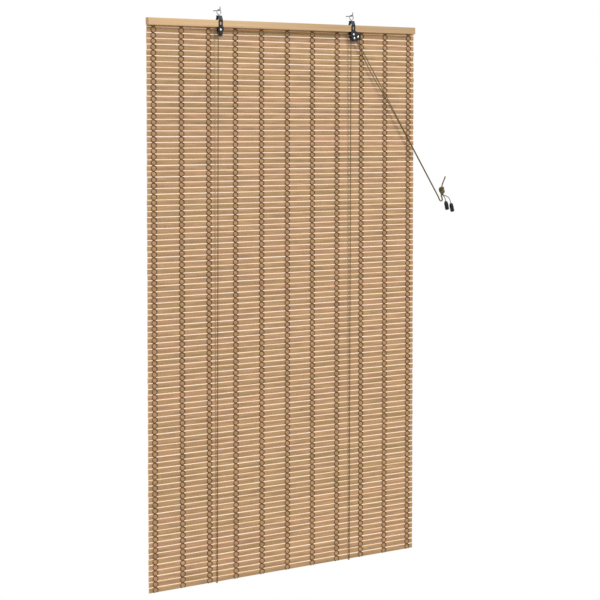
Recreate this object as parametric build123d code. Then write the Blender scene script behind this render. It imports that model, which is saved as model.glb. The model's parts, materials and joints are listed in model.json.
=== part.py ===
from build123d import *
import os
from math import acos, asin, atan2, cos, hypot, pi, radians, sin, tan

# A roll-up blind of bamboo slats woven with twine, hung from two hooks in a wall. Millimetres.
# X runs along the rail to the viewer's right, Y into the wall and Z up. The origin is on the wall, midway
# between the hooks, at the height of their shanks. A depth is measured from the wall towards the room, so
# a point at depth d has y = -d. A drop is measured down from the top of the rail.

# Blind and rail
blind_width = 1000.0
blind_drop = 1600.0
mat_shift = 5.5
rail_short = 2.0
rail_shift = 0.8
rail_height = 20.0
rail_depth = 13.5
rail_round = 1.5

# Slats
slat_width = 15.0
slat_gap = 0.93
slat_thickness = 3.0
slat_crown = 0.6
slat_bevel = 0.95
slat_edge = 1.0
mat_top_drop = 8.85
web_thickness = 0.6

# Twine
twine_column_count = 11
twine_margin = 22.0
twine_diameter = 1.6
twine_half_spread = 5.0

# Hooks and eyes
hook_spacing = 497.0
hook_wire = 3.2
hook_thread = 2.7
hook_bite = 12.0
hook_point = 3.0
hook_past_eye = 5.5
hook_bend = 4.0
hook_upright = 11.0
eye_wire = 2.4
eye_bore = 12.0
eye_collar = 1.3
eye_stem = 3.2
eye_head = 5.6
eye_head_thickness = 1.2

# Straps over the rail
sheet = 1.5
wall_room = 5.5
strap_width = 14.0
rear_leg_width = 8.0
strap_bend = 2.0
roof_rise = 13.0
roof_flat = 9.0
roof_eave = 1.0
rear_leg_past_rail = 1.0
window_width = 6.0
window_height = 10.0
window_drop = 9.0

# Pulley cheeks, given by the rounds that their outline wraps
cheek_shoulder_drop = 24.0
cheek_shoulder_radius = 10.0
left_cheek_foot_radius = 5.0
right_cheek_foot_radius = 9.0
right_cheek_lobe_radius = 11.0
cheek_edge_round = 0.4

# Rivets, sheaves and cam
rivet_diameter = 3.2
rivet_head = 6.0
rivet_dome = 1.4
rivet_tail = 0.8
frame_rivet_drop = 27.0
lock_frame_across = 1.5
sheave_drop = 38.0
lock_axle_across = 4.0
sheave_radius = 8.2
groove_radius = 5.5
groove_half_width = 1.45
sheave_width = 4.2
sheave_rim = 0.45
cam_across = 18.0
cam_drop = 34.0
cam_hub_radius = 3.6
cam_tail_radius = 3.0
cam_tail_reach = 6.5
cam_tail_angle = -15.0
cam_teeth = 6
cam_tooth_depth = 0.8
cam_nose_span = 60.0
cam_nose_rise = 1.0
cam_nose_lead_share = 0.55

# Fixings
tack_shank = 1.6
tack_head = 6.0
tack_head_thickness = 0.8
tack_length = 9.0
tack_column_steps = (-4.5, -1.5, 1.5, 4.5)
screw_shank = 3.0
screw_head = 6.4
screw_head_thickness = 1.8
screw_length = 12.0
staple_wire = 1.0
staple_length = 9.0
staple_bend = 0.8

# Lift cords, knot and cord ends
cord_diameter = 2.5
cord_pair_pitch = 2.8
tail_diameter = 4.0
cord_tail_past_staple = 5.0
cord_slack = 1.2
pull_depth = 22.0
knot_x = 615.6
knot_z = -524.0
knot_radius = 10.0
knot_flat_radius = 6.0
knot_height = 22.0
tassel_radius = 6.3
tassel_neck_radius = 4.0
tassel_shoulder = 6.0
tassel_length = 27.0
tassel_tip_round = 3.0
tassel_bore_depth = 8.0
tassel_lead = 12.0
left_tassel_top = (633.3, -558.8)
left_tassel_angle = -75.0
right_tassel_top = (653.1, -565.2)
right_tassel_angle = -75.0

# Clearances
soft_gap = 0.15
run_gap = 0.3
pin_gap = 0.05
overrun = 1.0
wrap_share = 0.98
bend_share = 0.45

# Routes of the cords as drawn aside, in X and Z
pull_curl = [
    (601.6, -545.7),
    (605.8, -554.4),
    (611.5, -558.4),
    (617.4, -555.8),
    (616.8, -548.0),
    (612.8, -541.0),
]
left_tassel_route = [(618.4, -539.0), (626.0, -543.0)]
right_tassel_route = [(618.4, -538.5), (628.0, -540.5), (640.0, -545.0)]
knot_tail_route = [(615.6, -507.5), (622.0, -497.5), (629.9, -481.9)]

# Depths from the wall
mat_back = wall_room + sheet
mat_front = mat_back + slat_thickness
rail_front = mat_front + rail_depth
cheek_face = rail_front + sheet
front_lane_near = rail_front - run_gap - sheave_width
front_lane = front_lane_near + sheave_width / 2
rear_lane_near = front_lane_near - run_gap - sheave_width
rear_lane = rear_lane_near + sheave_width / 2
left_cheek_near = front_lane_near - run_gap - sheet
right_cheek_near = rear_lane_near - run_gap - sheet
strap_middle = (wall_room + cheek_face) / 2
hook_reach = strap_middle + hook_past_eye

# Heights
eye_z = hook_wire / 2 + soft_gap - eye_bore / 2
roof_top = eye_z - eye_bore / 2 - eye_wire - eye_collar
rail_top = roof_top - roof_rise
rail_bottom = rail_top - rail_height
slat_pitch = slat_width + slat_gap
slat_count = round((blind_drop - mat_top_drop + slat_gap) / slat_pitch)
mat_height = slat_count * slat_pitch - slat_gap
mat_top = rail_top - mat_top_drop
mat_bottom = mat_top - mat_height
fixing_z = (mat_top + rail_bottom) / 2
sheave_z = rail_top - sheave_drop
frame_rivet_z = rail_top - frame_rivet_drop
cam_z = rail_top - cam_drop
knot_top = knot_z + knot_height / 2
knot_bottom = knot_z - knot_height / 2

# Places along the rail
left_x = -hook_spacing / 2
right_x = hook_spacing / 2
lock_x = right_x + lock_axle_across
cam_x = right_x + cam_across
twine_pitch = (blind_width - 2 * twine_margin) / (twine_column_count - 1)
cord_radius = cord_diameter / 2
rivet_radius = rivet_diameter / 2
lane_radius = groove_radius + cord_radius + soft_gap
left_cord_x = left_x - lane_radius
right_cord_x = lock_x - lane_radius
staple_places = [left_x - lane_radius, right_x - lane_radius]
tack_places = [mat_shift + step * twine_pitch for step in tack_column_steps]

# The straight pull, from the right-hand wheels to the first point of its curl
pull_run_x = pull_curl[0][0] - lock_x
pull_run_z = pull_curl[0][1] - sheave_z
pull_leave = atan2(pull_run_z, pull_run_x) + acos(lane_radius / hypot(pull_run_x, pull_run_z))
pull_corner_x = lock_x + lane_radius * tan((pi / 2 - pull_leave) / 2)
pull_corner_z = sheave_z + lane_radius


def bar(x, z, radius, near, far):
    """Round bar along Y at x, z, between two depths."""
    return extrude(Plane.XZ.offset(near) * Pos(x, z) * Circle(radius), far - near)


def plate(outline, near, thickness):
    """Flat plate facing the room, its outline drawn in X and Z."""
    return extrude(Plane.XZ.offset(near) * outline, thickness)


def fixing_holes():
    """Holes that the tacks, screws and staples make in the first slat and the rail."""
    near = mat_back - overrun
    tack_radius = tack_shank / 2 + pin_gap
    screw_radius = screw_shank / 2 + pin_gap
    staple_radius = staple_wire / 2 + pin_gap
    holes = [bar(x, fixing_z, tack_radius, near, mat_back + tack_length) for x in tack_places]
    holes += [bar(x, fixing_z, screw_radius, near, wall_room + screw_length) for x in (left_x, right_x)]
    for x in staple_places:
        for side in (-1, 1):
            place = x + side * staple_half_width()
            holes.append(bar(place, fixing_z, staple_radius, near, mat_back + staple_length))
    return holes


def staple_half_width():
    """Half the distance between the legs of a staple that straddles a cord."""
    return cord_radius + soft_gap + staple_wire / 2


def head_rail():
    """Wooden rail with eased edges, bored for the fixings."""
    section = Plane.YZ * RectangleRounded(rail_depth, rail_height, rail_round)
    rail = extrude(section, (blind_width - rail_short) / 2, both=True)
    rail = Pos(rail_shift, -(mat_front + rail_front) / 2, (rail_top + rail_bottom) / 2) * rail
    return rail - fixing_holes()


def slat_section(top):
    """Section of one slat, flat behind and crowned in front between two bevels, in Y and Z."""
    low = top - slat_width
    edge = -mat_back - slat_edge
    shoulder = slat_crown - mat_front
    edges = Polyline(
        (shoulder, top - slat_bevel),
        (edge, top),
        (-mat_back, top),
        (-mat_back, low),
        (edge, low),
        (shoulder, low + slat_bevel),
    )
    crown = ThreePointArc(edges @ 1, (-mat_front, (top + low) / 2), edges @ 0)
    return make_face([*edges.edges(), crown])


def slat_mat():
    """The woven mat as one ridged wall, with a gap between every two slats."""
    tops = [mat_top - row * slat_pitch for row in range(slat_count)]
    web_middle = mat_back + slat_edge / 2
    section = Pos(-web_middle, mat_top - mat_height / 2) * Rectangle(web_thickness, mat_height)
    section += [slat_section(top) for top in tops]
    wall = Pos(mat_shift, 0, 0) * extrude(Plane.YZ * section, blind_width / 2, both=True)
    gap_length = blind_width - 2 * (twine_margin + twine_half_spread)
    opening = Box(gap_length, slat_thickness + 2 * overrun, slat_gap)
    gap_tops = [top - slat_width for top in tops[:-1]]
    gaps = [Pos(mat_shift, -web_middle, top - slat_gap / 2) * opening for top in gap_tops]
    return wall - gaps - fixing_holes()


def twine_column(x):
    """One column of twine: two strands in front of the slats and two behind."""
    radius = twine_diameter / 2
    front = mat_front + soft_gap + radius
    back = mat_back - soft_gap - radius
    strands = []
    for side in (-twine_half_spread, twine_half_spread):
        for depth, top in ((front, rail_bottom), (back, rail_bottom - rear_leg_past_rail)):
            section = Plane.XY.offset(mat_bottom) * Pos(x + side, -depth) * Circle(radius)
            strands.append(extrude(section, top - soft_gap - mat_bottom))
    return Compound(strands)


def wire(route, radii, diameter):
    """Round wire along straight runs joined by tangent arcs."""
    path = FilletPolyline(*route, radius=radii)
    section = Plane(path @ 0, z_dir=path % 0) * Circle(diameter / 2)
    return sweep(section, path=path)


def hook(x):
    """Screw hook: a pointed thread into the wall, and a tip turned up in front."""
    radius = hook_wire / 2
    route = [(x, 0, 0), (x, -hook_reach, 0), (x, -hook_reach, hook_upright - radius)]
    body = wire(route, [hook_bend], hook_wire)
    tip = Pos(x, -hook_reach, hook_upright - radius) * Sphere(radius)
    length = hook_bite - hook_point
    thread = Polyline((0, 0), (hook_thread / 2, 0), (hook_thread / 2, length), (0, hook_bite), close=True)
    return body + tip + Pos(x, 0, 0) * revolve(make_face(thread), Axis.Y)


def eye(x):
    """Wire eye with a stem peened under the roof of the strap."""
    y = -strap_middle
    ring = Pos(x, y, eye_z) * Rot(90, 0, 0) * Torus((eye_bore + eye_wire) / 2, eye_wire / 2)
    stem_top = eye_z - (eye_bore + eye_wire) / 2
    head_top = roof_top - sheet
    stem = Plane.XY.offset(head_top) * Pos(x, y) * Circle(eye_stem / 2)
    head = Plane.XY.offset(head_top - eye_head_thickness) * Pos(x, y) * Circle(eye_head / 2)
    return ring + extrude(stem, stem_top - head_top) + extrude(head, eye_head_thickness)


def cheek_outline(rounds):
    """Outline drawn tight around circles, each given by its x, z and radius."""
    circles = [Pos(x, z) * Circle(radius) for x, z, radius in rounds]
    return make_hull([edge for circle in circles for edge in circle.edges()])


def left_cheek():
    """Outline of the single pulley's cheeks."""
    shoulder = (left_x, rail_top - cheek_shoulder_drop, cheek_shoulder_radius)
    foot = (left_x, sheave_z, left_cheek_foot_radius)
    return cheek_outline([shoulder, foot])


def right_cheek():
    """Outline of the cord lock's cheeks, with a lobe for the cam."""
    shoulder = (right_x, rail_top - cheek_shoulder_drop, cheek_shoulder_radius)
    foot = (lock_x, sheave_z, right_cheek_foot_radius)
    lobe = (cam_x, cam_z, right_cheek_lobe_radius)
    return cheek_outline([shoulder, foot, lobe])


def left_rivets():
    """Places of the rivets through the left cheeks."""
    return [(left_x, frame_rivet_z), (left_x, sheave_z)]


def right_rivets():
    """Places of the rivets through the right cheeks."""
    return [(right_x + lock_frame_across, frame_rivet_z), (lock_x, sheave_z), (cam_x, cam_z)]


def rivet_holes(places, near):
    """Holes for rivets through a plate at a depth."""
    radius = rivet_radius + pin_gap
    return [bar(x, z, radius, near - overrun, near + sheet + overrun) for x, z in places]


def strap(x, cheek, rivets):
    """Sheet strap bent over the rail, with the front cheek on its front leg."""
    rear = -(wall_room + sheet / 2)
    front = -(rail_front + sheet / 2)
    eave = rail_top + roof_eave
    ridge = roof_top - sheet / 2
    line = FilletPolyline(
        (rear, rail_bottom - rear_leg_past_rail),
        (rear, eave),
        (roof_flat / 2 - strap_middle, ridge),
        (-roof_flat / 2 - strap_middle, ridge),
        (front, eave),
        (front, rail_top - cheek_shoulder_drop),
        radius=strap_bend,
    )
    saddle = Pos(x, 0, 0) * extrude(Plane.YZ * trace(line, sheet), strap_width / 2, both=True)
    trim_width = (strap_width - rear_leg_width) / 2
    trim_depth = strap_middle - roof_flat / 2
    trim = Box(trim_width, trim_depth, 2 * (roof_top - rail_bottom + rear_leg_past_rail))
    for side in (-1, 1):
        saddle -= Pos(x + side * (rear_leg_width + trim_width) / 2, -trim_depth / 2, rail_bottom) * trim
    body = saddle + plate(cheek, rail_front, sheet)
    window = SlotOverall(window_height, window_width, rotation=90)
    body -= plate(Pos(x, rail_top - window_drop) * window, rail_front - overrun, sheet + 2 * overrun)
    stem_hole = Circle(eye_stem / 2 + pin_gap)
    body -= extrude(Plane.XY.offset(roof_top - 2 * sheet) * Pos(x, -strap_middle) * stem_hole, 2 * sheet + overrun)
    body -= bar(x, fixing_z, screw_shank / 2 + pin_gap, wall_room - overrun, mat_back + overrun)
    return body - rivet_holes(rivets, rail_front)


def rear_cheek(cheek, rivets, near):
    """Rear plate of a pulley, cut level under the rail, its outer edge eased."""
    body = plate(cheek, near, sheet)
    body = split(body, Plane.XY.offset(rail_bottom - soft_gap), keep=Keep.BOTTOM)
    face = body.faces().sort_by(Axis.Y)[-1]
    body = fillet(face.outer_wire().edges(), cheek_edge_round)
    return body - rivet_holes(rivets, near)


def rivet(x, z, near):
    """Rivet through both cheeks, with a domed head in front and a flat one behind."""
    head = rivet_head / 2
    ball = (head**2 + rivet_dome**2) / (2 * rivet_dome)
    half_angle = asin(head / ball) / 2
    crown = -cheek_face - rivet_dome
    outline = Polyline(
        (0, crown),
        (0, rivet_tail - near),
        (head, rivet_tail - near),
        (head, -near),
        (rivet_radius, -near),
        (rivet_radius, -cheek_face),
        (head, -cheek_face),
    )
    middle = (ball * sin(half_angle), crown + ball * (1 - cos(half_angle)))
    dome = ThreePointArc((head, -cheek_face), middle, (0, crown))
    return Pos(x, 0, z) * revolve(make_face([*outline.edges(), dome]), Axis.Y)


def sheave(x, near):
    """Grooved wheel with a plain bore."""
    bore = rivet_radius + pin_gap
    far = near + sheave_width
    lane = near + sheave_width / 2
    flank = groove_radius + groove_half_width
    outline = Polyline(
        (flank, groove_half_width - lane),
        (sheave_radius, -near - sheave_rim),
        (sheave_radius, -near),
        (bore, -near),
        (bore, -far),
        (sheave_radius, -far),
        (sheave_radius, sheave_rim - far),
        (flank, -groove_half_width - lane),
    )
    groove = ThreePointArc(outline @ 1, (groove_radius, -lane), outline @ 0)
    return Pos(x, 0, sheave_z) * revolve(make_face([*outline.edges(), groove]), Axis.Y)


def polar(radius, angle):
    """Point at a distance and an angle in radians."""
    return (radius * cos(angle), radius * sin(angle))


def cam_nose_radius():
    """Reach of the cam to the cords where they pass it, less the cord and a clearance."""
    across = (cam_x - lock_x) * cos(pull_leave) + (cam_z - sheave_z) * sin(pull_leave)
    return across - lane_radius - cord_radius - run_gap


def lock_cam():
    """Toothed cam that the cords turn, with a tail whose weight keeps it on them."""
    contact = pull_leave + pi
    span = radians(cam_nose_span)
    outline = [(0, 0)]
    for step in range(2 * cam_teeth + 1):
        lead = step / (2 * cam_teeth) - cam_nose_lead_share
        tip = cam_nose_radius() + cam_nose_rise * min(lead, 0)
        radius = tip - cam_tooth_depth if step % 2 else tip
        outline.append(polar(radius, contact + span * lead))
    nose = make_face(Polyline(*outline, close=True))
    tail_end = polar(cam_tail_reach, radians(cam_tail_angle))
    tail = cheek_outline([(0, 0, cam_hub_radius), (*tail_end, cam_tail_radius)])
    outline = nose + tail - Circle(rivet_radius + pin_gap)
    return plate(Pos(cam_x, cam_z) * outline, rear_lane_near, rail_front - run_gap - rear_lane_near)


def tack(x):
    """Round-headed tack through the first slat into the rail."""
    head = bar(x, fixing_z, tack_head / 2, mat_back - tack_head_thickness, mat_back)
    return head + bar(x, fixing_z, tack_shank / 2, mat_back, mat_back + tack_length)


def strap_screw(x):
    """Wood screw through the rear leg of a strap."""
    head = bar(x, fixing_z, screw_head / 2, wall_room - screw_head_thickness, wall_room)
    head = fillet(head.faces().sort_by(Axis.Y)[-1].edges(), screw_head_thickness / 2)
    return head + bar(x, fixing_z, screw_shank / 2, wall_room, wall_room + screw_length)


def cord_staple(x):
    """Staple that holds the end of a lift cord to the first slat and the rail."""
    half = staple_half_width()
    inner = -(mat_back + staple_length)
    outer = cord_diameter + 2 * soft_gap + staple_wire / 2 - mat_back
    legs = [(x - half, inner), (x - half, outer), (x + half, outer), (x + half, inner)]
    return wire([(px, py, fixing_z) for px, py in legs], [staple_bend, staple_bend], staple_wire)


def free_radii(route):
    """The largest radius that each inner point of a free cord's route allows."""
    radii = []
    for before, here, after in zip(route, route[1:], route[2:]):
        into = Vector(*here) - Vector(*before)
        out = Vector(*after) - Vector(*here)
        turn = radians(into.get_angle(out))
        radii.append(bend_share * min(into.length, out.length) / tan(turn / 2))
    return radii


def cord(name, route, radii, diameter=cord_diameter):
    """Cord along its route, with its length, radii and volume printed."""
    body = wire(route, radii, diameter)
    length = FilletPolyline(*route, radius=radii).length
    ratio = body.volume / (pi * (diameter / 2) ** 2 * length)
    print(name, "length", round(length, 1), "radii", [round(r, 1) for r in radii], "volume", round(ratio, 4))
    return body


def back_and_front(staple_x, x, lane):
    """Route of a lift cord from its staple down the back, round the last slat and up to its wheel."""
    behind = -(mat_back - soft_gap - cord_radius)
    before = -(mat_front + soft_gap + cord_radius)
    under = mat_bottom - cord_slack - cord_radius
    top = fixing_z + cord_tail_past_staple
    return [(staple_x, behind, top), (x, behind, under), (x, before, under), (x, -lane, pull_corner_z)]


def pull_stretch(lane, depth):
    """Route of a cord from the right-hand wheels to the knot."""
    curl = [(x, -depth, z) for x, z in pull_curl]
    end = (knot_x - cord_pair_pitch, -depth, knot_bottom)
    return [(pull_corner_x, -lane, pull_corner_z), *curl, end]


def edge_radius():
    """Radius of a lift cord's turn round the edge of the last slat."""
    return wrap_share * (slat_thickness / 2 + soft_gap + cord_radius)


def left_lift_cord():
    """Cord of the left pulley, over to the lock and on to the knot."""
    pull = pull_stretch(front_lane, pull_depth + cord_pair_pitch / 2)
    route = back_and_front(staple_places[0], left_cord_x, front_lane) + pull
    radii = [edge_radius(), edge_radius(), lane_radius, lane_radius, *free_radii(pull)]
    return cord("left_lift_cord", route, radii)


def right_lift_cord():
    """Cord of the lock's own wheel, on to the knot."""
    pull = pull_stretch(rear_lane, pull_depth - cord_pair_pitch / 2)
    route = back_and_front(staple_places[1], right_cord_x, rear_lane) + pull
    wheel = wrap_share * lane_radius
    radii = [edge_radius(), edge_radius(), wheel, wheel, *free_radii(pull)]
    return cord("right_lift_cord", route, radii)


def pull_knot():
    """The knot that ties the cords, as a barrel with flat ends."""
    half = knot_height / 2
    ends = Polyline((knot_flat_radius, -half), (0, -half), (0, half), (knot_flat_radius, half))
    belly = ThreePointArc((knot_flat_radius, half), (knot_radius, 0), (knot_flat_radius, -half))
    body = revolve(Plane.XZ * make_face([*ends.edges(), belly]), Axis.Z)
    return Pos(knot_x, -pull_depth, knot_z) * body


def knot_tail():
    """Loose end above the knot, bound double."""
    route = [(knot_x, -pull_depth, knot_top)] + [(x, -pull_depth, z) for x, z in knot_tail_route]
    return cord("knot_tail", route, free_radii(route), tail_diameter)


def tassel_plane(top, angle, depth):
    """Plane at the mouth of a cord end, its Z along the cord end's length."""
    along = (*polar(1, radians(angle)),)
    return Plane((top[0], -depth, top[1]), x_dir=(0, 1, 0), z_dir=(along[0], 0, along[1]))


def tassel(top, angle, depth):
    """Bell-shaped cord end with a bore for its cord."""
    bore = cord_radius + pin_gap
    outline = Polyline(
        (0, tassel_bore_depth),
        (bore, tassel_bore_depth),
        (bore, 0),
        (tassel_neck_radius, 0),
        (tassel_radius, tassel_shoulder),
        (tassel_radius, tassel_length - tassel_tip_round),
    )
    corner = (tassel_radius - tassel_tip_round, tassel_length)
    tip = RadiusArc((tassel_radius, tassel_length - tassel_tip_round), corner, -tassel_tip_round)
    back = Polyline(corner, (0, tassel_length), (0, tassel_bore_depth))
    face = make_face([*outline.edges(), *tip.edges(), *back.edges()])
    return tassel_plane(top, angle, depth) * revolve(Plane.XZ * face, Axis.Z)


def tassel_cord(name, inner_points, top, angle, depth):
    """Strand from the knot, in line with a cord end before its mouth, to the floor of its bore."""
    points = [(knot_x + cord_pair_pitch, knot_bottom), *inner_points]
    for distance in (-tassel_lead, tassel_bore_depth):
        across, up = polar(distance, radians(angle))
        points.append((top[0] + across, top[1] + up))
    route = [(x, -depth, z) for x, z in points]
    return cord(name, route, free_radii(route))


near_strand = pull_depth - cord_pair_pitch / 2
far_strand = pull_depth + cord_pair_pitch / 2

nodes = {
    "head_rail": head_rail(),
    "slat_mat": slat_mat(),
    "left_hook": hook(left_x),
    "right_hook": hook(right_x),
    "left_eye": eye(left_x),
    "right_eye": eye(right_x),
    "left_strap": strap(left_x, left_cheek(), left_rivets()),
    "right_strap": strap(right_x, right_cheek(), right_rivets()),
    "left_rear_cheek": rear_cheek(left_cheek(), left_rivets(), left_cheek_near),
    "right_rear_cheek": rear_cheek(right_cheek(), right_rivets(), right_cheek_near),
    "left_frame_rivet": rivet(left_x, frame_rivet_z, left_cheek_near),
    "left_axle_rivet": rivet(left_x, sheave_z, left_cheek_near),
    "right_frame_rivet": rivet(right_x + lock_frame_across, frame_rivet_z, right_cheek_near),
    "right_axle_rivet": rivet(lock_x, sheave_z, right_cheek_near),
    "cam_rivet": rivet(cam_x, cam_z, right_cheek_near),
    "left_sheave": sheave(left_x, front_lane_near),
    "right_rear_sheave": sheave(lock_x, rear_lane_near),
    "right_front_sheave": sheave(lock_x, front_lane_near),
    "lock_cam": lock_cam(),
    "mat_tacks": Compound([tack(x) for x in tack_places]),
    "strap_screws": Compound([strap_screw(x) for x in (left_x, right_x)]),
    "cord_staples": Compound([cord_staple(x) for x in staple_places]),
    "left_lift_cord": left_lift_cord(),
    "right_lift_cord": right_lift_cord(),
    "pull_knot": pull_knot(),
    "knot_tail": knot_tail(),
    "left_tassel": tassel(left_tassel_top, left_tassel_angle, near_strand),
    "right_tassel": tassel(right_tassel_top, right_tassel_angle, far_strand),
    "left_tassel_cord": tassel_cord(
        "left_tassel_cord", left_tassel_route, left_tassel_top, left_tassel_angle, near_strand
    ),
    "right_tassel_cord": tassel_cord(
        "right_tassel_cord", right_tassel_route, right_tassel_top, right_tassel_angle, far_strand
    ),
}
for column in range(twine_column_count):
    place = mat_shift + twine_margin - blind_width / 2 + column * twine_pitch
    nodes[f"twine_{column + 1:02d}"] = twine_column(place)

os.makedirs("parts", exist_ok=True)
for name, shape in nodes.items():
    export_step(shape, f"parts/{name}.step")
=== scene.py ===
import json
import math

import bmesh
import bpy
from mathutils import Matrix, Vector


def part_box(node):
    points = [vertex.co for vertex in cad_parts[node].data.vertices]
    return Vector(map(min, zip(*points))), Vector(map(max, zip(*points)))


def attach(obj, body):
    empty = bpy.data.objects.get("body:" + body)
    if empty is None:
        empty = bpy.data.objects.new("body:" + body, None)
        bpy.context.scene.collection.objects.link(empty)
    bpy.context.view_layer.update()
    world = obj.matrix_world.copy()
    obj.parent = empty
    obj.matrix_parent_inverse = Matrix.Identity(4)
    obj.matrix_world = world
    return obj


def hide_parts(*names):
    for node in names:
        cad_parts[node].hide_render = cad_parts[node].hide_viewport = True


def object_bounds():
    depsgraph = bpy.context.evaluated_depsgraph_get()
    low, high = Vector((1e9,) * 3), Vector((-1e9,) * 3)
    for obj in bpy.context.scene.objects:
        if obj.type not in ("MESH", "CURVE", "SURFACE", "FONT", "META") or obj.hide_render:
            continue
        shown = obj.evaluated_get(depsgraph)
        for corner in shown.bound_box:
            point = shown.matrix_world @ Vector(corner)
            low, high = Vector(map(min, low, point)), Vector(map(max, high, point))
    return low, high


# Looks of a roll-up blind of bamboo slats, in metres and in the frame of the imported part.
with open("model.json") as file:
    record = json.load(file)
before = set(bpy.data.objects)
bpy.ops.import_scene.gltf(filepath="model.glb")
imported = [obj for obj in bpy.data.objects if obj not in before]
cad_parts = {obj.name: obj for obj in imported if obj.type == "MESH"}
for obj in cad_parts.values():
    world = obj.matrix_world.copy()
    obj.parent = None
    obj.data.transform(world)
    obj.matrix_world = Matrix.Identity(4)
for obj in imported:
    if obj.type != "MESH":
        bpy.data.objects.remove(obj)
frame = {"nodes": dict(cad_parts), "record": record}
cad_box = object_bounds()
mm = 0.001

# Slats: the section of each, and how much they differ
slat_count = 100
slat_gap = 0.93 * mm
slat_bevel = 0.95 * mm
slat_crown = 0.6 * mm
slat_edge = 1.0 * mm
slat_steps = 12
crown_steps = 4
slat_seed = 7
end_wander = 0.7 * mm
width_wander = 0.012

# Bow of the slats: a slow wave out of the mat and a quicker one up and down
bow = 0.35 * mm
bow_waves = 3.0
bow_rates = (1.0, 2.3)
bow_phase = 40.0

# Twine: its two plies, and the rings that it makes over the slats
twine_columns = 11
twine_margin = 22.0 * mm
twine_radius = 1.0 * mm
twine_spread = 8.6 * mm
twine_sides = 6
twine_points_per_slat = 6
twine_flatness = 0.5
twine_dip = 1.2 * mm
twine_bulge = 0.5
twine_lay = 5.0 * mm

# Strands of twine: how far they sit off the slats and cross, by their radius, and run on, by a row
twine_seat_share = 0.9
twine_cross_share = 0.5
twine_end_share = 0.44

# Cords and the knot. Routes are places across and up in millimetres, lengths are in metres
spline_order = 3
spline_steps = 12
cord_radius = 1.25 * mm
tail_radius = 2.0 * mm
cord_pair_pitch = 2.8 * mm
cord_sides = 10
cord_lay = 6.0 * mm
lane_radius = 6.9 * mm
edge_room = 1.2 * mm
near_corner = 15.0 * mm
near_curl = 9.7 * mm
pull_slack = 9.0 * mm
slack_deepest_share = 0.22
slack_end_share = 0.42
cord_past_staple = 5.0 * mm
staple_half_width = 2.4 * mm
tassel_bore_depth = 8.0 * mm
tassel_lead = 12.0 * mm
left_tassel_angle = math.radians(-75.0)
right_tassel_angle = math.radians(-75.0)
left_tassel_top = (633.3 * mm, -558.8 * mm)
right_tassel_top = (653.1 * mm, -565.2 * mm)
pull_curl = [
    (601.6, -545.7),
    (605.8, -554.4),
    (611.5, -558.4),
    (617.4, -555.8),
    (616.8, -548.0),
    (612.8, -541.0),
]
left_tassel_route = [(618.4, -539.0), (626.0, -543.0)]
right_tassel_route = [(618.4, -538.5), (628.0, -540.5), (640.0, -545.0)]
knot_tail_route = [(615.6, -507.5), (622.0, -497.5), (629.9, -481.9)]
left_cord_length = 4.3185
right_cord_length = 3.8176
knot_tail_length = 0.0347
left_tassel_cord_length = 0.0380
right_tassel_cord_length = 0.0583
knot_strand_radius = 3.0 * mm
knot_core_share = 0.55
knot_points = 72
knot_turns = 2
knot_lobes = 3
knot_bury = 3.0 * mm

# Threads of the hooks
thread_start = 0.6 * mm
thread_end = 9.0 * mm
thread_pitch = 1.6 * mm
thread_core = 1.25 * mm
thread_ridge = 0.42 * mm
thread_points = 20
thread_sides = 6

# Grain of the finishes: how often each pattern repeats in a metre along X, Y and Z, or along all three
slat_streaks = (14, 600, 1100)
slat_mottle = (14, 60, 170)
slat_blush = (9, 63, 63)
rail_wander = (3, 40, 40)
rail_rings = (2.5, 260, 330)
rail_pores = (30, 1500, 1800)
twine_fibres = 2500
twine_patches = 60
cord_fibres = 3000
metal_patches = 90
metal_scratches = (900, 135, 900)
plastic_skin = 1400
plastic_cloud = 120

# Joints of the bamboo: how many in a metre, how they shift from slat to slat, and the edge of their rings
slat_joints = 2.9
joint_shuffle = 17.0
joint_ring_shares = (0.002, 0.009)

# Relief: how far the grain, the plies and the scratches stand out
slat_relief = 0.15 * mm
rail_relief = 0.1 * mm
twine_relief = 0.5 * mm
cord_relief = 0.3 * mm
fine_relief = 0.02 * mm

# Lamps: azimuth and elevation in degrees, distance and size in metres, power in watts
lamps = {
    "key": (34, 42, 9.0, 3.6, 460),
    "fill": (-50, 15, 9.0, 5.4, 116),
}

# Plain light from all sides, and the floor
ambient_level = 0.46
floor_height = -2.0
floor_radius = 2.2
floor_segments = 96
floor_fade_shares = (0.3, 0.6)

# Camera, as the photograph was taken
camera_place = (-3.9059, -4.7482, -0.3145)
camera_turn = math.radians(-39.886)
camera_tilt = math.radians(3.353)
camera_lens = 126.67
camera_sensor = 36.0
camera_shift = -0.09


def srgb(red, green, blue):
    """Linear colour from the 0 to 255 numbers of a picture."""
    parts = [value / 255 for value in (red, green, blue)]
    return (*[p / 12.92 if p <= 0.04045 else ((p + 0.055) / 1.055) ** 2.4 for p in parts], 1.0)


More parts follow.
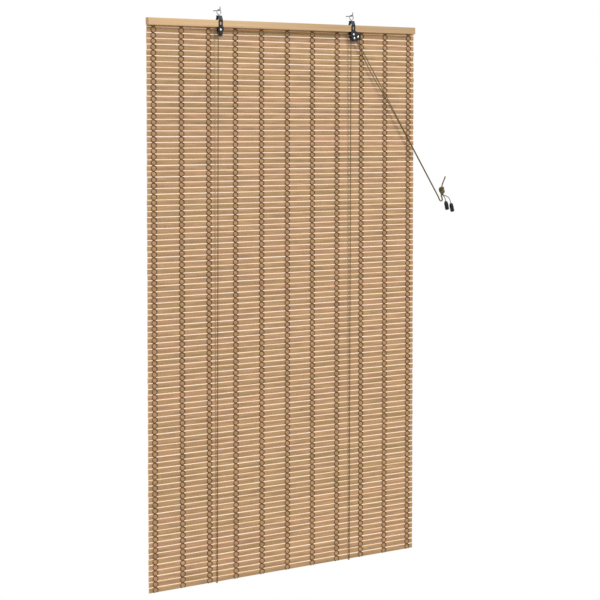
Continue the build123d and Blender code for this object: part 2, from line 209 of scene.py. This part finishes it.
class Value:
    """An output of a node tree. Sums with values are written in Python and become Math nodes."""

    def __init__(self, tree, socket):
        self.tree = tree
        self.socket = socket

    def math(self, operation, *terms):
        return self.tree.node("ShaderNodeMath", {"operation": operation}, dict(enumerate(terms)))

    def __add__(self, other):
        return self.math("ADD", self, other)

    def __radd__(self, other):
        return self.math("ADD", other, self)

    def __sub__(self, other):
        return self.math("SUBTRACT", self, other)

    def __rsub__(self, other):
        return self.math("SUBTRACT", other, self)

    def __mul__(self, other):
        return self.math("MULTIPLY", self, other)

    def __rmul__(self, other):
        return self.math("MULTIPLY", other, self)

    def __truediv__(self, other):
        return self.math("DIVIDE", self, other)

    def __pow__(self, other):
        return self.math("POWER", self, other)

    def __abs__(self):
        return self.math("ABSOLUTE", self)

    def sine(self):
        return self.math("SINE", self)

    def cosine(self):
        return self.math("COSINE", self)

    def sign(self):
        return self.math("SIGN", self)

    def fraction(self):
        return self.math("FRACT", self)

    def larger(self, other):
        return self.math("MAXIMUM", self, other)

    def smaller(self, other):
        return self.math("MINIMUM", self, other)

    def between(self, low, high):
        """0 below low, 1 above high and a smooth step between them."""
        limits = {"Value": self, "From Min": low, "From Max": high}
        return self.tree.node("ShaderNodeMapRange", {"interpolation_type": "SMOOTHSTEP"}, limits)


class Tree:
    """A node tree that is built from Python expressions."""

    def __init__(self, group):
        self.group = group

    def node(self, kind, settings=None, inputs=None, output=0):
        """Adds a node, sets its settings and then its sockets, and gives one of its outputs."""
        made = self.group.nodes.new(kind)
        for name, setting in (settings or {}).items():
            if name == "stops":
                self.set_stops(made.color_ramp, setting)
            else:
                setattr(made, name, setting)
        for name, value in (inputs or {}).items():
            self.put(made.inputs[name], value)
        return Value(self, made.outputs[output])

    def put(self, socket, value):
        """Links a value to a socket, or sets the socket to a constant."""
        if isinstance(value, Value):
            self.group.links.new(value.socket, socket)
        else:
            socket.default_value = value

    def set_stops(self, ramp, stops):
        """Gives a colour ramp its places and colours."""
        while len(ramp.elements) < len(stops):
            ramp.elements.new(1.0)
        for element, (place, colour) in zip(ramp.elements, stops):
            element.position = place
            element.color = colour

    def mix(self, factor, first, second):
        """Colour between two colours."""
        inputs = {0: factor, 6: first, 7: second}
        return self.node("ShaderNodeMix", {"data_type": "RGBA"}, inputs, 2)

    def tint(self, colour, amount):
        """Colour made lighter or darker by a value around 1."""
        plain = colour if isinstance(colour, Value) else colour[:3]
        return self.node("ShaderNodeVectorMath", {"operation": "SCALE"}, {0: plain, "Scale": amount})

    def parts(self, vector):
        """The three numbers of a vector."""
        return [self.node("ShaderNodeSeparateXYZ", None, {0: vector}, axis) for axis in range(3)]

    def vector(self, x, y, z):
        return self.node("ShaderNodeCombineXYZ", None, {0: x, 1: y, 2: z})


def socket_name(label):
    """A shader socket's name from its name in Python."""
    return label.replace("_", " ").title().replace("Ior", "IOR")


class Finish(Tree):
    """A material: a Principled shader whose constants are set on its own sockets."""

    def __init__(self, name, **constants):
        self.material = bpy.data.materials.new(name)
        self.material.use_nodes = True
        super().__init__(self.material.node_tree)
        self.shader = self.group.nodes["Principled BSDF"]
        self.set(**constants)

    def set(self, **values):
        """Sets or links the shader's sockets and gives the material."""
        for label, value in values.items():
            self.put(self.shader.inputs[socket_name(label)], value)
        return self.material

    def place(self, *scale):
        """Object coordinates, stretched along the axes."""
        where = self.node("ShaderNodeTexCoord", output="Object")
        return self.node("ShaderNodeMapping", None, {"Vector": where, "Scale": scale})

    def noise(self, where, scale=1.0, detail=3.0):
        return self.node("ShaderNodeTexNoise", None, {"Vector": where, "Scale": scale, "Detail": detail})

    def attribute(self, name, output="Fac"):
        return self.node("ShaderNodeAttribute", {"attribute_name": name}, None, output)

    def bump(self, height, distance):
        return self.node("ShaderNodeBump", None, {"Height": height, "Distance": distance, "Strength": 1.0})


class Growth(Tree):
    """A geometry tree with named sizes, run once to make a plain mesh."""

    def __init__(self, name):
        super().__init__(bpy.data.node_groups.new(name, "GeometryNodeTree"))
        self.sockets = {}
        self.inlet = self.group.nodes.new("NodeGroupInput")
        self.group.interface.new_socket("Geometry", in_out="INPUT", socket_type="NodeSocketGeometry")
        self.group.interface.new_socket("Geometry", in_out="OUTPUT", socket_type="NodeSocketGeometry")
        self.source = Value(self, self.inlet.outputs["Geometry"])

    def size(self, name, kind="Float"):
        """A named input of the tree."""
        self.sockets[name] = self.group.interface.new_socket(
            name, in_out="INPUT", socket_type="NodeSocket" + kind
        )
        return Value(self, self.inlet.outputs[name])

    def end(self, geometry, material):
        """Closes the tree: real meshes, with a material."""
        real = self.node("GeometryNodeRealizeInstances", None, {0: geometry})
        dressed = self.node("GeometryNodeSetMaterial", None, {"Geometry": real, "Material": material})
        outlet = self.group.nodes.new("NodeGroupOutput")
        self.put(outlet.inputs[0], dressed)
        return self

    def grow(self, name, sizes, source=None):
        """Runs the tree with these sizes and keeps the result as an object of its own."""
        host = bpy.data.objects.new(name + "_host", source or bpy.data.meshes.new(name + "_host"))
        bpy.context.scene.collection.objects.link(host)
        modifier = host.modifiers.new("growth", "NODES")
        modifier.node_group = self.group
        for label, value in sizes.items():
            modifier[self.sockets[label].identifier] = value
        mesh = evaluated_mesh(host)
        bpy.data.objects.remove(host)
        return shown(name, mesh)


def evaluated_mesh(piece):
    """A plain mesh of an object with its modifiers applied."""
    graph = bpy.context.evaluated_depsgraph_get()
    return bpy.data.meshes.new_from_object(
        piece.evaluated_get(graph), preserve_all_data_layers=True, depsgraph=graph
    )


def shown(name, data):
    """An object at the origin that shows a mesh or a curve."""
    data.name = name
    piece = bpy.data.objects.new(name, data)
    bpy.context.scene.collection.objects.link(piece)
    return piece


def belongs(piece, slot, *nodes):
    """Ties a finished piece to the blind, in the place of its solid if it has one. Its slot is not used."""
    if nodes:
        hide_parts(*nodes)
    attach(piece, "blind")


# Materials


def bamboo():
    """Stained bamboo: its tint differs from slat to slat, its cut edges are paler."""
    paint = Finish("stained_bamboo", specular_ior_level=0.35)
    tone = paint.attribute("tone")
    depth = paint.attribute("depth_of_stain")
    edge = paint.attribute("cut_edge")
    tints = [
        (0.0, srgb(174, 143, 99)),
        (0.35, srgb(179, 144, 104)),
        (0.65, srgb(181, 144, 107)),
        (1.0, srgb(186, 144, 109)),
    ]
    streaks = paint.noise(paint.place(*slat_streaks), detail=4.0)
    mottle = paint.noise(paint.place(*slat_mottle), detail=3.0)
    blush = paint.noise(paint.place(*slat_blush), detail=1.0)
    stain = paint.node("ShaderNodeValToRGB", {"stops": tints}, {0: tone * 0.5 + blush * 1.2 - 0.35})
    along = paint.parts(paint.node("ShaderNodeTexCoord", output="Object"))[0]
    joint = abs((along * slat_joints + depth * joint_shuffle).fraction() - 0.5)
    ring = 1 - joint.between(*joint_ring_shares)
    shade = 0.36 + streaks * 0.22 + mottle + depth * 0.08 - ring * 0.1
    skin = paint.tint(stain, shade)
    flesh = paint.tint(srgb(254, 217, 168), 0.98 + streaks * 0.2)
    grain = streaks * 0.3 + ring
    return paint.set(
        base_color=paint.mix(edge, skin, flesh),
        roughness=0.4 + streaks * 0.2,
        normal=paint.bump(grain, slat_relief),
    )


def pale_wood():
    """Planed pale wood of the rail, its grain along X, darker towards its right end."""
    paint = Finish("pale_rail_wood", specular_ior_level=0.3)
    wander = paint.noise(paint.place(*rail_wander), detail=2.0)
    rings = paint.noise(paint.place(*rail_rings), detail=4.0)
    pores = paint.noise(paint.place(*rail_pores), detail=2.0)
    grain = rings * 0.7 + pores * 0.3
    stops = [(0.3, srgb(200, 163, 118)), (0.52, srgb(217, 181, 137)), (0.75, srgb(231, 198, 156))]
    colour = paint.node("ShaderNodeValToRGB", {"stops": stops}, {0: grain + wander * 0.16 - 0.08})
    along = paint.parts(paint.node("ShaderNodeTexCoord", output="Object"))[0]
    return paint.set(
        base_color=paint.tint(colour, 1.08 - along.between(-0.5, 0.6) * 0.32),
        roughness=0.5 + pores * 0.15,
        normal=paint.bump(grain, rail_relief),
    )


def twist(paint, lay, plies):
    """Height of twisted plies on a tube that carries its length and its round."""
    turn = paint.attribute("along") * (2 * math.pi / lay)
    across, up, _ = paint.parts(paint.attribute("round", "Vector"))
    for _ in range(plies // 2 - 1):
        across, up = across * across - up * up, 2 * across * up
    return abs(up * turn.cosine() + across * turn.sine())


def twine():
    """Brown two-ply twine with loose fibres, its colour darker in the grooves between the plies as painted
    shade.
    """
    paint = Finish("brown_twine", specular_ior_level=0.1)
    plies = twist(paint, twine_lay, 2)
    fibres = paint.noise(paint.place(1, 1, 1), twine_fibres, 3.0)
    patch = paint.noise(paint.place(1, 1, 1), twine_patches, 2.0)
    stops = [(0.0, srgb(84, 55, 30)), (0.6, srgb(128, 90, 54)), (1.0, srgb(150, 110, 68))]
    # Painted shade: darker in the grooves between the plies and lighter on their crowns; fibres and patches
    # differ at random
    tone = plies * 0.6 + fibres * 0.3 + patch * 0.2
    height = plies + fibres * 0.3
    return paint.set(
        base_color=paint.node("ShaderNodeValToRGB", {"stops": stops}, {0: tone}),
        roughness=0.85 + fibres * 0.1,
        normal=paint.bump(height, twine_relief),
    )


def braid():
    """Olive brown braided cord, its colour darker in the grooves of the braid as painted shade."""
    paint = Finish("braided_cord", specular_ior_level=0.15)
    one_way = twist(paint, cord_lay, 4)
    other_way = twist(paint, -cord_lay, 4)
    height = one_way.larger(other_way)
    fibres = paint.noise(paint.place(1, 1, 1), cord_fibres, 2.0)
    stops = [(0.0, srgb(72, 61, 38)), (0.7, srgb(117, 103, 68)), (1.0, srgb(144, 129, 90))]
    # Painted shade: darker in the grooves of the braid and lighter on its crowns; fibres differ at random
    tone = height * 0.7 + fibres * 0.4
    return paint.set(
        base_color=paint.node("ShaderNodeValToRGB", {"stops": stops}, {0: tone}),
        roughness=0.75 + fibres * 0.15,
        normal=paint.bump(height, cord_relief),
    )


def metal(name, colour, roughness, wear, metallic=1.0, gloss=0.5):
    """Metal with fine scratches and patches that differ in gloss."""
    paint = Finish(name, metallic=metallic, specular_ior_level=gloss)
    patch = paint.noise(paint.place(1, 1, 1), metal_patches, 3.0)
    scratch = paint.noise(paint.place(*metal_scratches), detail=4.0)
    dull = patch * 0.6 + scratch * 0.4
    dark, worn = [(*[part * level for part in colour[:3]], 1.0) for level in (1 - wear, 1 + wear)]
    return paint.set(
        base_color=paint.mix(dull.between(0.3, 0.7), dark, worn),
        roughness=roughness + (dull - 0.5) * 0.25,
        normal=paint.bump(scratch, fine_relief),
    )


def plastic(name, colour, roughness, gloss):
    """Moulded plastic with a faint skin texture."""
    paint = Finish(name, specular_ior_level=gloss)
    skin = paint.noise(paint.place(1, 1, 1), plastic_skin, 2.0)
    cloud = paint.noise(paint.place(1, 1, 1), plastic_cloud, 2.0)
    return paint.set(
        base_color=paint.tint(colour, 0.8 + cloud * 0.4),
        roughness=roughness + skin * 0.1,
        normal=paint.bump(skin, fine_relief),
    )


finishes = {
    "bamboo": bamboo(),
    "rail_wood": pale_wood(),
    "twine": twine(),
    "cord_braid": braid(),
    "zinc_wire": metal("zinc_plated_wire", srgb(142, 144, 147), 0.35, 0.15),
    "black_steel": metal("blackened_steel", srgb(30, 32, 33), 0.5, 0.3, 0.1, gloss=0.3),
    "bright_rivet": metal("nickel_rivet", srgb(236, 236, 238), 0.18, 0.05),
    "cam_steel": metal("dull_cam_steel", srgb(140, 142, 145), 0.4, 0.2),
    "fixing_steel": metal("zinc_fixings", srgb(190, 190, 192), 0.35, 0.15),
    "sheave_plastic": plastic("dark_wheel_plastic", srgb(62, 52, 46), 0.42, 0.4),
    "black_plastic": plastic("black_cord_end_plastic", srgb(16, 16, 17), 0.2, 0.3),
}

# Carried-over nodes take their slot's finish
for part in frame["record"]["subparts"]:
    node = frame["nodes"][part["node"]]
    node.data.materials.clear()
    node.data.materials.append(finishes[part["material_slot"]])

# Slats


def slat_outline(width, thickness):
    """Section of a slat as pairs of depth and height: flat behind, bevelled and crowned in front."""
    half = width / 2
    crown_half = half - slat_bevel
    shoulder = thickness - slat_crown
    points = [(0, -half), (0, half), (slat_edge, half)]
    for step in range(crown_steps + 1):
        share = 1 - 2 * step / crown_steps
        points.append((shoulder + slat_crown * (1 - share**2), crown_half * share))
    return points + [(slat_edge, -half)]


def slat_mesh(length, width, thickness):
    """One slat along X with its back on y = 0, its bevels and ends marked as cut edges."""
    outline = slat_outline(width, thickness)
    mesh = bmesh.new()
    cut = mesh.faces.layers.float.new("cut_edge")
    rows = []
    for step in range(slat_steps + 1):
        x = length * (step / slat_steps - 0.5)
        rows.append([mesh.verts.new((x, -depth, height)) for depth, height in outline])
    count = len(outline)
    cut_sides = {1, 2, count - 2, count - 1}
    for before, after in zip(rows, rows[1:]):
        for side in range(count):
            following = (side + 1) % count
            face = mesh.faces.new((before[side], before[following], after[following], after[side]))
            face[cut] = 1.0 if side in cut_sides else 0.0
    for end in (rows[0], rows[-1]):
        mesh.faces.new(end)[cut] = 1.0
    bmesh.ops.recalc_face_normals(mesh, faces=mesh.faces)
    made = bpy.data.meshes.new("one_slat")
    mesh.to_mesh(made)
    mesh.free()
    return made


def random_value(tree, low, high, seed):
    """A random number for each instance."""
    return tree.node("FunctionNodeRandomValue", {"data_type": "FLOAT"}, {2: low, 3: high, 8: seed}, 1)


def slat_growth(material):
    """Geometry tree that lays slats below one another, no two alike, the first close on the second."""
    tree = Growth("slats_in_rows")
    one_slat = tree.size("Slat", "Object")
    count = tree.size("Slat Count", "Int")
    pitch = tree.size("Slat Pitch")
    first = tree.size("First Slat", "Vector")
    wander = tree.size("End Wander")
    spread = tree.size("Width Wander")
    amount = tree.size("Bow")
    drop = tree.size("First Drop")
    seed = tree.size("Seed", "Int")
    step = tree.vector(0.0, 0.0, 0 - pitch)
    line = tree.node("GeometryNodeMeshLine", None, {"Count": count, "Start Location": first, "Offset": step})
    shape = tree.node("GeometryNodeObjectInfo", None, {"Object": one_slat}, "Geometry")
    rows = tree.node("GeometryNodeInstanceOnPoints", None, {"Points": line, "Instance": shape})
    index = tree.node("GeometryNodeInputIndex")
    is_first = 1 - index.smaller(1.0)
    shift = tree.vector(random_value(tree, -1.0, 1.0, seed) * wander, 0.0, 0 - is_first * drop)
    rows = tree.node("GeometryNodeTranslateInstances", None, {"Instances": rows, "Translation": shift})
    widen = tree.vector(1.0, 1.0, 1 - random_value(tree, 0.0, 1.0, seed + 1) * spread)
    rows = tree.node("GeometryNodeScaleInstances", None, {"Instances": rows, "Scale": widen})
    for number, name in enumerate(("tone", "depth_of_stain")):
        rows = tree.node(
            "GeometryNodeStoreNamedAttribute",
            {"data_type": "FLOAT", "domain": "INSTANCE"},
            {"Geometry": rows, "Name": name, "Value": random_value(tree, 0.0, 1.0, seed + 2 + number)},
        )
    real = tree.node("GeometryNodeRealizeInstances", None, {0: rows})
    tone = tree.node("GeometryNodeInputNamedAttribute", {"data_type": "FLOAT"}, {"Name": "tone"})
    x = tree.parts(tree.node("GeometryNodeInputPosition"))[0]
    out, down = [(x * (bow_waves * rate) + tone * bow_phase * rate).sine() for rate in bow_rates]
    bend = tree.vector(0.0, out * amount / 2, down * amount / 2)
    bent = tree.node("GeometryNodeSetPosition", None, {"Geometry": real, "Offset": bend})
    return tree.end(bent, material)


def lay_slats():
    """The mat's slats as one piece in the place of the ridged wall."""
    low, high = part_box("slat_mat")
    pitch = (high.z - low.z + slat_gap) / slat_count
    width = pitch - slat_gap
    source = shown("one_slat", slat_mesh(high.x - low.x, width, high.y - low.y))
    sizes = {
        "Slat": source,
        "Slat Count": slat_count,
        "Slat Pitch": pitch,
        "First Slat": ((low.x + high.x) / 2, high.y, high.z - width / 2),
        "End Wander": end_wander,
        "Width Wander": width_wander,
        "Bow": bow,
        "First Drop": slat_gap,
        "Seed": slat_seed,
    }
    slats = slat_growth(finishes["bamboo"]).grow("bamboo_slats", sizes)
    bpy.data.objects.remove(source)
    return slats, pitch


# Twine


def tube(tree, path, radius, sides, scale=1.0):
    """Tube along curves that carries its length and its round for the twist of its plies."""
    length = tree.node("GeometryNodeSplineParameter", output="Length")
    path = tree.node(
        "GeometryNodeStoreNamedAttribute",
        {"data_type": "FLOAT", "domain": "POINT"},
        {"Geometry": path, "Name": "along", "Value": length},
    )
    ring = tree.node("GeometryNodeCurvePrimitiveCircle", None, {"Resolution": sides, "Radius": radius})
    place = tree.node("GeometryNodeInputPosition")
    direction = tree.node("ShaderNodeVectorMath", {"operation": "NORMALIZE"}, {0: place})
    ring = tree.node(
        "GeometryNodeStoreNamedAttribute",
        {"data_type": "FLOAT_VECTOR", "domain": "POINT"},
        {"Geometry": ring, "Name": "round", "Value": direction},
    )
    inputs = {"Curve": path, "Profile Curve": ring, "Scale": scale, "Fill Caps": True}
    skin = tree.node("GeometryNodeCurveToMesh", None, inputs)
    return tree.node("GeometryNodeSetShadeSmooth", None, {"Geometry": skin})


def twine_growth(material):
    """Geometry tree for one column: two strands in front and two behind, crossing in every gap."""
    tree = Growth("twine_rings")
    x = tree.size("Column")
    top = tree.size("Top")
    pitch = tree.size("Slat Pitch")
    rows = tree.size("Rows")
    points = tree.size("Points", "Int")
    spread = tree.size("Spread")
    radius = tree.size("Radius")
    front = tree.size("Front")
    back = tree.size("Back")
    dip = tree.size("Dip")
    sides = tree.size("Sides", "Int")
    turn = tree.node("GeometryNodeSplineParameter", output="Factor") * rows * math.pi
    swing = turn.cosine()
    reach = swing.sign() * abs(swing) ** twine_flatness
    sunk = (1 - abs(swing)) * dip
    over = turn.sine() * radius * twine_cross_share
    full = 1 + (1 - abs(swing)) ** 2 * twine_bulge
    low = top - rows * pitch
    strands = tree.group.nodes.new("GeometryNodeJoinGeometry")
    for face, inward in ((front, 1), (back, -1)):
        for side in (-1, 1):
            ends = {"Start": tree.vector(x, face, top), "End": tree.vector(x, face, low)}
            line = tree.node("GeometryNodeCurvePrimitiveLine", None, ends)
            line = tree.node("GeometryNodeResampleCurve", None, {"Curve": line, "Count": points})
            offset = tree.vector(reach * spread * side, (sunk + over * side) * inward, 0.0)
            line = tree.node("GeometryNodeSetPosition", None, {"Geometry": line, "Offset": offset})
            tree.put(strands.inputs[0], line)
    return tree.end(tube(tree, Value(tree, strands.outputs[0]), radius, sides, full), material)


def weave_twine(pitch):
    """Eleven columns of twine, each in the place of its straight strands."""
    low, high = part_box("slat_mat")
    tree = twine_growth(finishes["twine"])
    rows = slat_count - 1 + twine_end_share
    seat = twine_radius * twine_seat_share
    step = (high.x - low.x - 2 * twine_margin) / (twine_columns - 1)
    columns = []
    for column in range(twine_columns):
        sizes = {
            "Column": low.x + twine_margin + column * step,
            "Top": high.z - (pitch - slat_gap) / 2,
            "Slat Pitch": pitch,
            "Rows": rows,
            "Points": round(rows * twine_points_per_slat) + 1,
            "Spread": twine_spread,
            "Radius": twine_radius,
            "Front": low.y - seat,
            "Back": high.y + seat,
            "Dip": twine_dip,
            "Sides": twine_sides,
        }
        columns.append(tree.grow(f"woven_twine_{column + 1:02d}", sizes))
    return columns


# Cords


def nurbs(name, points, closed=False):
    """One NURBS spline with these control points."""
    data = bpy.data.curves.new(name, "CURVE")
    data.dimensions = "3D"
    data.resolution_u = spline_steps
    spline = data.splines.new("NURBS")
    spline.points.add(len(points) - 1)
    for point, place in zip(spline.points, points):
        point.co = (*place, 1.0)
    spline.order_u = spline_order
    spline.use_endpoint_u = not closed
    spline.use_cyclic_u = closed
    return data


def spline_points(data):
    """The points that a curve without a bevel passes."""
    bare = shown("bare_line", data)
    mesh = evaluated_mesh(bare)
    points = [vertex.co.copy() for vertex in mesh.vertices]
    bpy.data.objects.remove(bare)
    return points


def round_growth(name, material):
    """Geometry tree that gives a curve the round of a cord or a wire."""
    tree = Growth(name)
    radius = tree.size("Radius")
    sides = tree.size("Sides", "Int")
    return tree.end(tube(tree, tree.source, radius, sides), material)


cord_tree = round_growth("cord_round", finishes["cord_braid"])
thread_tree = round_growth("thread_ridge", finishes["zinc_wire"])


def make_cord(name, node, points, length, radius=cord_radius, **facts):
    """A cord along its route, in the place of its solid."""
    line = nurbs(name + "_line", points)
    path = spline_points(line)
    piece = cord_tree.grow(name, {"Radius": radius, "Sides": cord_sides}, line)
    belongs(piece, "cord_braid", node)
    return piece


def at_depth(route, y):
    """Places of a route, whose points are given across and up in millimetres."""
    return [(x * mm, y, z * mm) for x, z in route]


def towards(start, end, distance):
    """Point at a distance from start on the way to end."""
    start = Vector(start)
    return tuple(start + (Vector(end) - start).normalized() * distance)


def middle(node):
    """Centre of a node's box."""
    low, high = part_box(node)
    return (low + high) / 2


left_wheel = middle("left_sheave")
rear_wheel = middle("right_rear_sheave")
front_wheel = middle("right_front_sheave")
knot_low, knot_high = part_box("pull_knot")
knot = middle("pull_knot")
near_strand = knot.y + cord_pair_pitch / 2
far_strand = knot.y - cord_pair_pitch / 2
pull_corner_z = rear_wheel.z + lane_radius
staple_low, staple_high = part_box("cord_staples")
staple_z = (staple_low.z + staple_high.z) / 2
left_staple_x = staple_low.x + staple_half_width
right_staple_x = staple_high.x - staple_half_width


def pull_corner():
    """Where the line over the right-hand wheels meets the line of the straight pull."""
    run_x = pull_curl[0][0] * mm - rear_wheel.x
    run_z = pull_curl[0][1] * mm - rear_wheel.z
    leave = math.atan2(run_z, run_x) + math.acos(lane_radius / math.hypot(run_x, run_z))
    return rear_wheel.x + lane_radius * math.tan((math.pi / 2 - leave) / 2)


def back_and_front(wheel, staple_x):
    """Route of a lift cord from its staple down the back, round the last slat and up to its wheel."""
    low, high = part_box("left_lift_cord")
    x = wheel.x - lane_radius
    behind = high.y - cord_radius
    before = 2 * middle("slat_mat").y - behind
    under = low.z + cord_radius
    corner = (x, wheel.y, pull_corner_z)
    turn_in = (x, behind + edge_room, under)
    turn_out = (x, before - edge_room, under)
    lead_out = towards((x, before, under), corner, near_corner)
    return [
        (staple_x, behind, staple_z + cord_past_staple),
        towards((x, behind, under), (staple_x, behind, staple_z), near_corner),
        turn_in,
        turn_out,
        lead_out,
        towards(corner, lead_out, near_corner),
        corner,
    ]


def pull_stretch(wheel, depth, slack=0.0):
    """Route of a cord from the right-hand wheels along the pull and its curl to the knot."""
    corner = Vector((pull_corner(), wheel.y, pull_corner_z))
    curl = at_depth(pull_curl, depth)
    run = Vector(curl[0]) - corner
    below = Vector((run.z, 0, -run.x)).normalized()
    route = [tuple(corner), towards(corner, curl[0], near_corner)]
    if slack:
        route.append(tuple(corner + run * slack_deepest_share + below * slack))
        route.append(tuple(corner + run * slack_end_share))
    end = (knot.x - cord_pair_pitch, depth, knot_low.z + knot_bury)
    return route + [towards(curl[0], corner, near_curl), *curl, end]


def lift_cords(knot_piece):
    """Both lift cords, from their staples to the knot that ties them."""
    up = back_and_front(left_wheel, left_staple_x)
    pull = pull_stretch(front_wheel, far_strand)
    across = [towards(up[-1], pull[0], near_corner), towards(pull[0], up[-1], near_corner)]
    facts = {"far_end": "knot", "lay": "taut"}
    route = up + across + pull
    make_cord("left_cord", "left_lift_cord", route, left_cord_length, with_pieces=[knot_piece], **facts)
    up = back_and_front(rear_wheel, right_staple_x)
    pull = pull_stretch(rear_wheel, near_strand, pull_slack)
    make_cord("right_cord", "right_lift_cord", up + pull, right_cord_length, **facts)


def tassel_strand(name, node, tassel, inner, top, angle, depth, length):
    """Short strand from the knot into a cord end."""
    points = [(knot.x + cord_pair_pitch, depth, knot_low.z + knot_bury), *at_depth(inner, depth)]
    for distance in (-tassel_lead, tassel_bore_depth):
        points.append((top[0] + distance * math.cos(angle), depth, top[1] + distance * math.sin(angle)))
    facts = {"far_end": "fitting", "lay": "hanging", "with_pieces": [frame["nodes"][tassel]]}
    make_cord(name, node, points, length, **facts)


def short_cords():
    """The knot's loose end and the strands of the two cord ends."""
    tail = [(knot.x, knot.y, knot_high.z - knot_bury), *at_depth(knot_tail_route, knot.y)]
    make_cord("loose_end", "knot_tail", tail, knot_tail_length, tail_radius, far_end="bare", lay="hanging")
    tassel_strand(
        "left_strand", "left_tassel_cord", "left_tassel", left_tassel_route,
        left_tassel_top, left_tassel_angle, near_strand, left_tassel_cord_length,
    )
    tassel_strand(
        "right_strand", "right_tassel_cord", "right_tassel", right_tassel_route,
        right_tassel_top, right_tassel_angle, far_strand, right_tassel_cord_length,
    )


def tie_knot():
    """The knot: a doubled strand that winds through itself, as wide and as tall as its solid."""
    across = (knot_high.x - knot_low.x) / 2 - knot_strand_radius
    up = (knot_high.z - knot_low.z) / 2 - knot_strand_radius
    points = []
    for step in range(knot_points):
        turn = 2 * math.pi * step / knot_points
        reach = across * (knot_core_share + (1 - knot_core_share) * math.cos(knot_lobes * turn))
        sweep = knot_turns * turn
        rise = up * math.sin(knot_lobes * turn)
        points.append(knot + Vector((reach * math.cos(sweep), reach * math.sin(sweep), rise)))
    line = nurbs("knot_line", points, closed=True)
    return cord_tree.grow("tied_knot", {"Radius": knot_strand_radius, "Sides": cord_sides}, line)


def cut_thread(hook):
    """The screw thread on the part of a hook that sits in the wall."""
    x = middle(hook).x
    points = []
    count = round((thread_end - thread_start) / thread_pitch * thread_points)
    for step in range(count + 1):
        turn = 2 * math.pi * step / thread_points
        y = thread_start + thread_pitch * step / thread_points
        points.append((x + thread_core * math.cos(turn), y, thread_core * math.sin(turn)))
    line = nurbs(hook + "_thread_line", points)
    return thread_tree.grow(hook + "_thread", {"Radius": thread_ridge, "Sides": thread_sides}, line)


slats, slat_pitch = lay_slats()
belongs(slats, "bamboo", "slat_mat")
for number, column in enumerate(weave_twine(slat_pitch)):
    belongs(column, "twine", f"twine_{number + 1:02d}")
tied_knot = tie_knot()
belongs(tied_knot, "cord_braid", "pull_knot")
lift_cords(tied_knot)
short_cords()
for hook in ("left_hook", "right_hook"):
    belongs(cut_thread(hook), "zinc_wire")

# Floor, light and camera


def seen_rays(tree):
    """1 for rays that show a surface straight, mirrored or through glass, and 0 for others."""
    kinds = ("Is Camera Ray", "Is Glossy Ray", "Is Transmission Ray")
    straight, mirrored, through = [tree.node("ShaderNodeLightPath", output=kind) for kind in kinds]
    return straight.larger(mirrored.larger(through))


def floor_finish(radius):
    """Pale floor that keeps the shadow near the object and turns white towards its rim."""
    paint = Finish("pale_floor", roughness=0.8, base_color=srgb(246, 246, 245))
    x, y, _ = paint.parts(paint.node("ShaderNodeTexCoord", output="Object"))
    start, end = [share * radius for share in floor_fade_shares]
    rim = ((x * x + y * y) ** 0.5).between(start, end)
    seen = seen_rays(paint)
    white = paint.node("ShaderNodeEmission", None, {"Color": (1.0, 1.0, 1.0, 1.0), "Strength": 1.0})
    bare = Value(paint, paint.shader.outputs[0])
    blend = paint.node("ShaderNodeMixShader", None, {0: rim * seen, 1: bare, 2: white})
    paint.put(paint.group.nodes["Material Output"].inputs["Surface"], blend)
    return paint.material


def lay_floor(height, radius):
    """Round floor below the blind."""
    mesh = bmesh.new()
    bmesh.ops.create_circle(mesh, cap_ends=True, segments=floor_segments, radius=radius)
    data = bpy.data.meshes.new("floor")
    mesh.to_mesh(data)
    mesh.free()
    floor = shown("floor", data)
    floor.location = (0, 0, height)
    floor.data.materials.append(floor_finish(radius))


def white_world(ambient):
    """White where it is seen or mirrored, and a plain level of light elsewhere."""
    world = bpy.data.worlds.new("studio")
    bpy.context.scene.world = world
    world.use_nodes = True
    tree = Tree(world.node_tree)
    level = ambient + seen_rays(tree) * (1 - ambient)
    background = world.node_tree.nodes["Background"]
    background.inputs["Color"].default_value = (1.0, 1.0, 1.0, 1.0)
    tree.put(background.inputs["Strength"], level)


def lamp(name, azimuth, elevation, distance, size, power, target):
    """Square soft lamp that faces the blind from a direction, azimuth 0 being straight in front."""
    data = bpy.data.lights.new(name, "AREA")
    data.size = size
    data.energy = power
    piece = bpy.data.objects.new(name, data)
    bpy.context.scene.collection.objects.link(piece)
    turn, rise = math.radians(azimuth), math.radians(elevation)
    back = Vector((math.sin(turn) * math.cos(rise), -math.cos(turn) * math.cos(rise), math.sin(rise)))
    piece.location = target + back * distance
    piece.rotation_euler = (-back).to_track_quat("-Z", "Y").to_euler()


def aim_camera():
    """Camera at the photograph's place, lens and tilt."""
    data = bpy.data.cameras.new("camera")
    data.lens = camera_lens
    data.sensor_width = camera_sensor
    data.shift_y = camera_shift
    camera = bpy.data.objects.new("camera", data)
    bpy.context.scene.collection.objects.link(camera)
    camera.location = camera_place
    camera.rotation_euler = (math.pi / 2 - camera_tilt, 0, camera_turn)
    bpy.context.scene.camera = camera


centre = (cad_box[0] + cad_box[1]) / 2
lay_floor(floor_height, floor_radius)
white_world(ambient_level)
for name, facts in lamps.items():
    lamp(name, *facts, centre)
aim_camera()
bpy.context.scene.view_settings.view_transform = "Standard"
